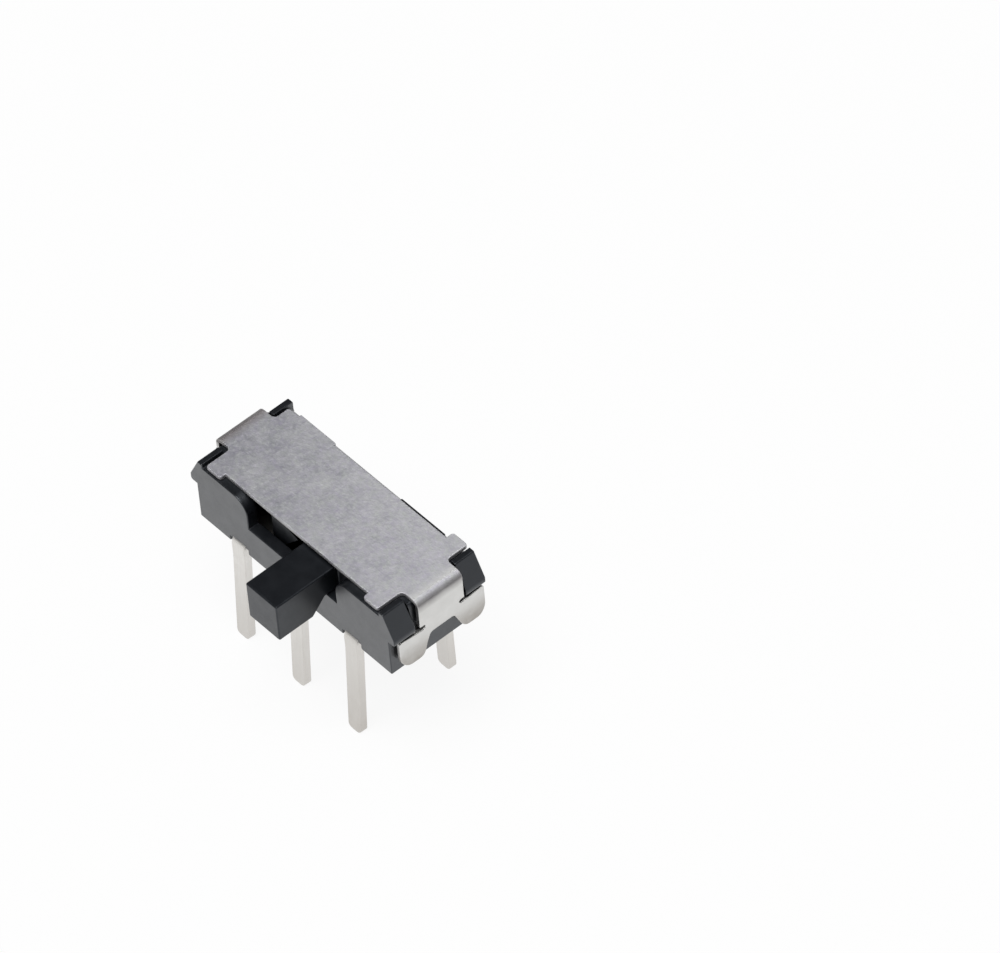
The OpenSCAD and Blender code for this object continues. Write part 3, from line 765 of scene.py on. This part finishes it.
def cover_outline(s, tab):
    """The cover's whole flat outline, anticlockwise from the front edge's left ear."""
    end = s.plate_end
    ear = end - s.ear
    r = s.ear_corner
    points = []
    for mirror in (-1, 1):
        corners = [
            arc((ear + r, r - s.ear_edge), r, 180, 270), arc((end - r, r - s.ear_edge), r, 270, 360)
        ]
        piece = [(ear, -s.plate_front)] + corners[0] + corners[1]
        if mirror < 0:
            piece = [(-u, v) for u, v in reversed(piece)]
        points += piece
    points += tab
    points += arc((end - r, s.ear_edge + s.ear_back - r), r, 0, 90)
    points += arc((ear + r, s.ear_edge + s.ear_back - r), r, 90, 180)
    lug = -end + s.lug_start
    points += [(ear, s.plate_back), (lug + s.lug, s.plate_back), (lug + s.lug, s.plate_back + s.lug_out)]
    points += [(lug, s.plate_back + s.lug_out), (lug, s.plate_back)]
    points += arc((r - end, s.plate_back - r), r, 90, 180)
    points += [(-u, v) for u, v in reversed(tab)]
    return points


class Millimetres:
    """The sizes of a property group in millimetres."""

    def __init__(self, group):
        self.group = group

    def __getattr__(self, name):
        value = getattr(self.group, name)
        return value if name in ("pins", "front_lean", "back_lean") else value / MM


# Operators

class SWITCH_OT_housing(bpy.types.Operator):
    """Make the housing's moulding"""

    bl_idname = "switch.make_housing"
    bl_label = "Make Housing"

    def execute(self, context):
        s = Millimetres(context.scene.switch_sizes)
        colours = context.scene.switch_colours
        piece = rounded_piece("housing_moulding", merged_copy("housing"), s.plastic_round)
        need(piece)
        tones = (colours.housing_dark, colours.housing_light, colours.plastic_edge)
        black = moulded_plastic("housing_black", *tones, HOUSING_IOR, HOUSING_COAT)
        dress(piece, black, "base", ["housing"])
        return {"FINISHED"}


class SWITCH_OT_cover(bpy.types.Operator):
    """Make the folded sheet cover"""

    bl_idname = "switch.make_cover"
    bl_label = "Make Cover"

    def execute(self, context):
        s = Millimetres(context.scene.switch_sizes)
        low, high = (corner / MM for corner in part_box("cover"))
        fold_x = high.x - s.sheet - s.fold
        plate_z = high.z - s.sheet
        fold_z = plate_z - s.fold
        bend = s.fold * math.pi / 2
        wing_top = low.z + s.wing_high
        middle_y = low.y + s.ear_edge
        tab_u = fold_x + bend + fold_z - wing_top
        curl_u = tab_u + s.wing_high - s.curl_high

        def place(u, v, lift):
            along = abs(u)
            radius = s.fold + lift
            if along <= fold_x:
                x = along
                z = plate_z + lift
            elif along < fold_x + bend:
                turn = (along - fold_x) / s.fold
                x = fold_x + radius * math.sin(turn)
                z = fold_z + radius * math.cos(turn)
            else:
                rolled = max(0.0, along - curl_u) / s.curl_high
                x = fold_x + radius + s.curl * rolled ** 2
                z = fold_z - (along - fold_x - bend)
            return Vector((math.copysign(x, u), v + middle_y, z))

        cuts = [fold_x + bend * i / QUARTER_STEPS for i in range(QUARTER_STEPS + 1)]
        cuts += [curl_u + s.curl_high * i / QUARTER_STEPS for i in range(QUARTER_STEPS)]
        cuts += [-cut for cut in cuts]
        tab = tab_outline(s, tab_u)
        solid = bent_sheet(cover_outline(s, tab), cuts, s.sheet, place)
        piece = rounded_piece("cover_sheet", solid, s.sheet_round)
        need(piece)
        low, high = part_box("cover")
        plating = plated_sheet(context.scene.switch_colours, low, high, (s.sheet + s.fold) * MM)
        dress(piece, plating, "base", ["cover"])
        return {"FINISHED"}


class SWITCH_OT_slider(bpy.types.Operator):
    """Make the slider with its lever"""

    bl_idname = "switch.make_slider"
    bl_label = "Make Slider"

    def execute(self, context):
        s = Millimetres(context.scene.switch_sizes)
        colours = context.scene.switch_colours
        piece = rounded_piece("slider_moulding", merged_copy("slider"), s.lever_round)
        need(piece)
        tones = (colours.slider_dark, colours.slider_light, colours.plastic_edge)
        black = moulded_plastic("slider_black", *tones, SLIDER_IOR, SLIDER_COAT)
        dress(piece, black, "slider", ["slider"])
        return {"FINISHED"}


def terminal_outline(s, pad_end, blade_end):
    """Flat outline of one terminal: wide pad, narrower strip and pin with a rounded tip."""
    wide = s.pad / 2
    slim = s.pin / 2
    tip = blade_end - s.pin_tip
    points = [(0.0, -wide), (pad_end, -wide), (pad_end, -slim)]
    points += arc((tip, s.pin_tip - slim), s.pin_tip, 270, 360)
    points += arc((tip, slim - s.pin_tip), s.pin_tip, 0, 90)
    points += [(pad_end, slim), (pad_end, wide), (0.0, wide)]
    return points


def terminal_solid(s, side, lean, node):
    """One terminal of the row on a side, -1 at the front and 1 at the back, as a solid in millimetres."""
    low, high = (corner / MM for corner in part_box(node))
    pad_start = low.y if side > 0 else -high.y
    inner = s.row / 2
    bend_y = inner - s.pin_bend
    pad_under = high.z - s.pin_sheet
    bend_z = pad_under - s.pin_bend
    bend_u = bend_y - pad_start
    bend_l = s.pin_bend * math.pi / 2
    lean_u = bend_u + bend_l + bend_z - s.lean_start
    blade_end = lean_u + (s.lean_start - low.z) / math.cos(lean)

    def place(u, v, lift):
        if u <= bend_u:
            y = pad_start + u
            z = pad_under + lift
        elif u <= bend_u + bend_l:
            turn = (u - bend_u) / s.pin_bend
            y = bend_y + (s.pin_bend + lift) * math.sin(turn)
            z = bend_z + (s.pin_bend + lift) * math.cos(turn)
        elif u <= lean_u:
            y = inner + lift
            z = bend_z - (u - bend_u - bend_l)
        else:
            y = inner + (u - lean_u) * math.sin(lean) + lift * math.cos(lean)
            z = s.lean_start - (u - lean_u) * math.cos(lean) + lift * math.sin(lean)
        return Vector((-side * v, side * y, z))

    cuts = [bend_u + bend_l * i / QUARTER_STEPS for i in range(QUARTER_STEPS + 1)] + [lean_u]
    return bent_sheet(terminal_outline(s, bend_u - s.pad_neck, blade_end), cuts, s.pin_sheet, place)


def terminal_rows_tree():
    """Geometry nodes that set a front and a back terminal out in a row of pairs along the housing."""
    tree = bpy.data.node_groups.new("terminal_rows", "GeometryNodeTree")
    tree.interface.new_socket("Pair", in_out="INPUT", socket_type="NodeSocketGeometry")
    tree.interface.new_socket("Pitch", in_out="INPUT", socket_type="NodeSocketFloat")
    tree.interface.new_socket("Pins", in_out="INPUT", socket_type="NodeSocketInt")
    tree.interface.new_socket("Terminals", in_out="OUTPUT", socket_type="NodeSocketGeometry")
    entry = put(tree, "NodeGroupInput", 0, 0)
    end = put(tree, "NodeGroupOutput", 8, 0)
    gaps = math_node(tree, 1, 1, "SUBTRACT", entry.outputs["Pins"], 1.0)
    span = math_node(tree, 2, 1, "MULTIPLY", gaps, entry.outputs["Pitch"])
    start = math_node(tree, 3, 1, "MULTIPLY", span, -0.5)
    first = put(tree, "ShaderNodeCombineXYZ", 4, 1)
    step = put(tree, "ShaderNodeCombineXYZ", 4, 2)
    row = put(tree, "GeometryNodeMeshLine", 5, 1, {"mode": "OFFSET"})
    copies = put(tree, "GeometryNodeInstanceOnPoints", 6, 0)
    real = put(tree, "GeometryNodeRealizeInstances", 7, 0)
    link(tree, start, first.inputs["X"])
    link(tree, entry.outputs["Pitch"], step.inputs["X"])
    link(tree, entry.outputs["Pins"], row.inputs["Count"])
    link(tree, first.outputs[0], row.inputs["Start Location"])
    link(tree, step.outputs[0], row.inputs["Offset"])
    link(tree, row.outputs[0], copies.inputs["Points"])
    link(tree, entry.outputs["Pair"], copies.inputs["Instance"])
    link(tree, copies.outputs[0], real.inputs[0])
    link(tree, real.outputs[0], end.inputs[0])
    return tree


def set_inputs(modifier, values):
    """Sets a node modifier's inputs by the identifiers of its named sockets."""
    for item in modifier.node_group.interface.items_tree:
        if item.in_out == "INPUT" and item.name in values:
            modifier[item.identifier] = values[item.name]


class SWITCH_OT_terminals(bpy.types.Operator):
    """Make the two rows of terminals"""

    bl_idname = "switch.make_terminals"
    bl_label = "Make Terminals"

    def execute(self, context):
        sizes = context.scene.switch_sizes
        s = Millimetres(sizes)
        pair = terminal_solid(s, -1, s.front_lean, TERMINAL_NODES[0])
        back = terminal_solid(s, 1, s.back_lean, TERMINAL_NODES[-1])
        back_mesh = bpy.data.meshes.new("back_terminal")
        back.to_mesh(back_mesh)
        back.free()
        pair.from_mesh(back_mesh)
        bpy.data.meshes.remove(back_mesh)
        piece = rounded_piece("terminals", pair, s.pin_round)
        rows = piece.modifiers.new("Rows", "NODES")
        rows.node_group = terminal_rows_tree()
        set_inputs(rows, {"Pitch": sizes.pitch, "Pins": sizes.pins})
        take_mesh(piece)
        need(piece)
        plating = plated_pin(context.scene.switch_colours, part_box(TERMINAL_NODES[0])[0])
        dress(piece, plating, "base", TERMINAL_NODES)
        return {"FINISHED"}


class SWITCH_OT_contact_clips(bpy.types.Operator):
    """Finish the two contact clips inside the slider"""

    bl_idname = "switch.finish_contact_clips"
    bl_label = "Finish Contact Clips"

    def execute(self, context):
        metal = contact_metal(context.scene.switch_colours)
        for node in CLIP_NODES:
            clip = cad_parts[node]
            if not clip.material_slots:
                raise RuntimeError(node + " has no material slot")
            clip.material_slots[0].link = "OBJECT"
            clip.material_slots[0].material = metal
        return {"FINISHED"}


def floor_material(tone):
    """White floor: plain white to the camera and in reflections, with a share of its own shading."""
    material = bpy.data.materials.new("white_floor")
    material.use_nodes = True
    tree = material.node_tree
    tree.nodes.clear()
    rays = put(tree, "ShaderNodeLightPath", 0, 0)
    seen = math_node(tree, 1, 0, "MAXIMUM", rays.outputs["Is Camera Ray"], rays.outputs["Is Glossy Ray"])
    share = math_node(tree, 2, 0, "MULTIPLY", seen, FLOOR_LIGHT_SHARE)
    matt = put(tree, "ShaderNodeBsdfDiffuse", 3, 1, inputs={"Color": (*tone, 1.0)})
    white = put(tree, "ShaderNodeEmission", 3, 2, inputs={"Strength": FLOOR_LIGHT})
    mix = put(tree, "ShaderNodeMixShader", 4, 0)
    end = put(tree, "ShaderNodeOutputMaterial", 5, 0)
    link(tree, share, mix.inputs[0])
    link(tree, matt.outputs[0], mix.inputs[1])
    link(tree, white.outputs[0], mix.inputs[2])
    link(tree, mix.outputs[0], end.inputs["Surface"])
    return material


def studio_world():
    """World light: white round the horizon, dim overhead."""
    world = bpy.data.worlds.new("studio")
    world.use_nodes = True
    tree = world.node_tree
    tree.nodes.clear()
    place = put(tree, "ShaderNodeTexCoord", 0, 0)
    parts = put(tree, "ShaderNodeSeparateXYZ", 1, 0)
    light = put(tree, "ShaderNodeBackground", 3, 0)
    end = put(tree, "ShaderNodeOutputWorld", 4, 0)
    link(tree, place.outputs["Generated"], parts.inputs[0])
    strength = spread(tree, 2, 0, parts.outputs["Z"], *HORIZON, HORIZON_LIGHT, SKY_LIGHT)
    link(tree, strength, light.inputs["Strength"])
    link(tree, light.outputs[0], end.inputs["Surface"])
    return world


def softbox(name, place, size, power):
    """A square area lamp that faces the switch."""
    lamp = bpy.data.lights.new(name, "AREA")
    lamp.shape = "SQUARE"
    lamp.size = size
    lamp.energy = power
    obj = bpy.data.objects.new(name, lamp)
    obj.location = place
    obj.rotation_mode = "QUATERNION"
    obj.rotation_quaternion = (-Vector(place)).to_track_quat("-Z", "Y")
    bpy.context.scene.collection.objects.link(obj)


class SWITCH_OT_stage(bpy.types.Operator):
    """Make the floor, the lights and the camera"""

    bl_idname = "switch.make_stage"
    bl_label = "Make Stage"

    def execute(self, context):
        scene = context.scene
        floor = bpy.data.meshes.new("floor")
        ground = CAD_BOX[0].z
        square = ((-1, -1), (1, -1), (1, 1), (-1, 1))
        corners = [(x * FLOOR_REACH, y * FLOOR_REACH, ground) for x, y in square]
        floor.from_pydata(corners, [], [(0, 1, 2, 3)])
        floor.materials.append(floor_material(scene.switch_colours.floor))
        floor_object = bpy.data.objects.new("floor", floor)
        scene.collection.objects.link(floor_object)
        for lamp in LAMPS:
            softbox(*lamp)
        scene.world = studio_world()
        scene.view_settings.view_transform = "Standard"
        lens = bpy.data.cameras.new("picture_camera")
        lens.sensor_fit = "HORIZONTAL"
        lens.sensor_width = CAMERA_SENSOR
        lens.lens = CAMERA_LENS
        lens.clip_start = CAMERA_NEAR
        lens.clip_end = CAMERA_FAR
        camera = bpy.data.objects.new("picture_camera", lens)
        forward = CAMERA_FORWARD.normalized()
        right = forward.cross(CAMERA_UP).normalized()
        turn = Matrix((right, right.cross(forward), -forward)).transposed()
        camera.matrix_world = Matrix.Translation(CAMERA_PLACE) @ turn.to_4x4()
        scene.collection.objects.link(camera)
        scene.camera = camera
        return {"FINISHED"}


class SWITCH_PT_pieces(bpy.types.Panel):
    """The switch's pieces in the sidebar"""

    bl_label = "Slide Switch"
    bl_idname = "SWITCH_PT_pieces"
    bl_space_type = "VIEW_3D"
    bl_region_type = "UI"
    bl_category = "Switch"

    def draw(self, context):
        column = self.layout.column()
        for operator in PIECE_OPERATORS:
            column.operator(operator.bl_idname)
        for group in (context.scene.switch_sizes, context.scene.switch_colours):
            for name in group.__annotations__:
                column.prop(group, name)


PIECE_OPERATORS = (
    SWITCH_OT_housing, SWITCH_OT_cover, SWITCH_OT_slider, SWITCH_OT_terminals, SWITCH_OT_contact_clips,
    SWITCH_OT_stage,
)
CLASSES = (SwitchSizes, SwitchColours, *PIECE_OPERATORS, SWITCH_PT_pieces)


def register():
    for item in CLASSES:
        bpy.utils.register_class(item)
    bpy.types.Scene.switch_sizes = PointerProperty(type=SwitchSizes)
    bpy.types.Scene.switch_colours = PointerProperty(type=SwitchColours)


def unregister():
    del bpy.types.Scene.switch_colours
    del bpy.types.Scene.switch_sizes
    for item in reversed(CLASSES):
        bpy.utils.unregister_class(item)


def main():
    register()
    bpy.ops.switch.make_housing()
    bpy.ops.switch.make_cover()
    bpy.ops.switch.make_slider()
    bpy.ops.switch.make_terminals()
    bpy.ops.switch.finish_contact_clips()
    bpy.ops.switch.make_stage()


if __name__ == "__main__":
    main()
